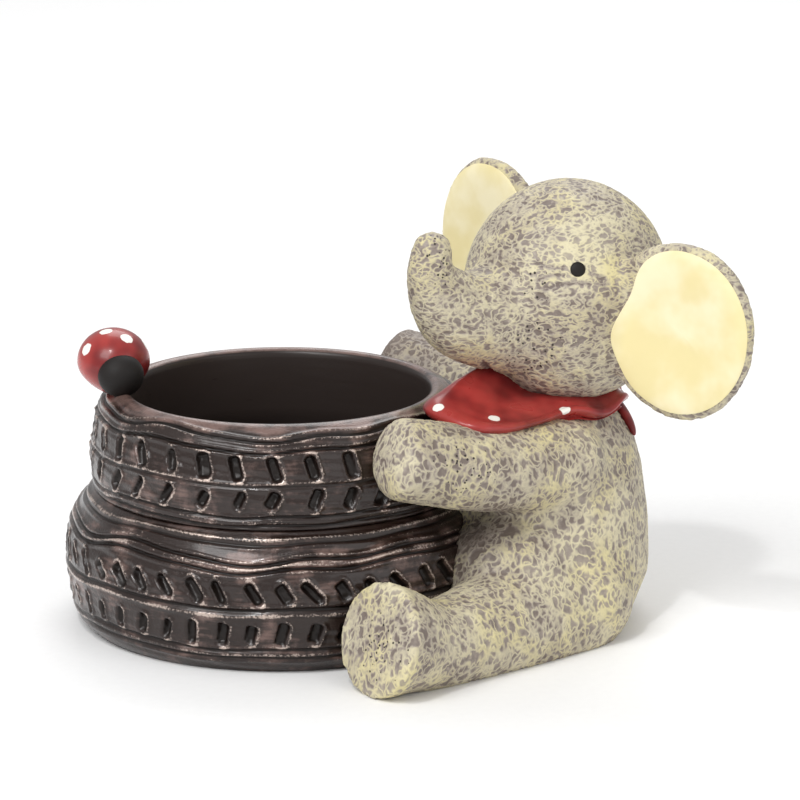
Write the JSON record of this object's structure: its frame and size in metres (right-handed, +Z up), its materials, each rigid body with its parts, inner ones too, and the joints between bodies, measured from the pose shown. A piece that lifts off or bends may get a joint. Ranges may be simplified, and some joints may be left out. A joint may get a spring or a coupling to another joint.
{
  "type": "flower pot",
  "caption": "Small cast resin flower pot shaped as stacked tyres, hugged by a sitting elephant calf with a polka-dot neckerchief; a ladybird sits on the rim.",
  "frame": {"origin": "centre of the pot's flat underside, on the pot's own axis", "axes": "+Z up along the pot's axis, +X from the pot towards the elephant, -Y towards the elephant's left side"},
  "size_m": [0.1493, 0.13, 0.0987],
  "materials": {
    "tyre_resin": "cast resin, dark paint with a dry-brushed silver-brown highlight, satin",
    "elephant_resin": "cast resin, grey paint under a cream crackle wash, matt",
    "ear_cream": "cast resin, smooth cream paint",
    "scarf_red": "cast resin, red paint with white dots, satin",
    "ladybird_red": "cast resin, red paint with white dots, satin",
    "paint_black": "cast resin, black paint"
  },
  "bodies": {
    "root": {"lower_tyre": "tyre_resin", "upper_tyre": "tyre_resin", "torso": "elephant_resin", "left_leg": "elephant_resin", "right_leg": "elephant_resin", "left_arm": "elephant_resin", "right_arm": "elephant_resin", "head": "elephant_resin", "trunk": "elephant_resin", "left_ear": "elephant_resin", "right_ear": "elephant_resin", "left_ear_lining": "ear_cream", "right_ear_lining": "ear_cream", "left_eye": "paint_black", "right_eye": "paint_black", "neckerchief": "scarf_red", "neckerchief_knot": "scarf_red", "neckerchief_left_tail": "scarf_red", "neckerchief_right_tail": "scarf_red", "ladybird_shell": "ladybird_red", "ladybird_head": "paint_black"}
  },
  "joints": []
}
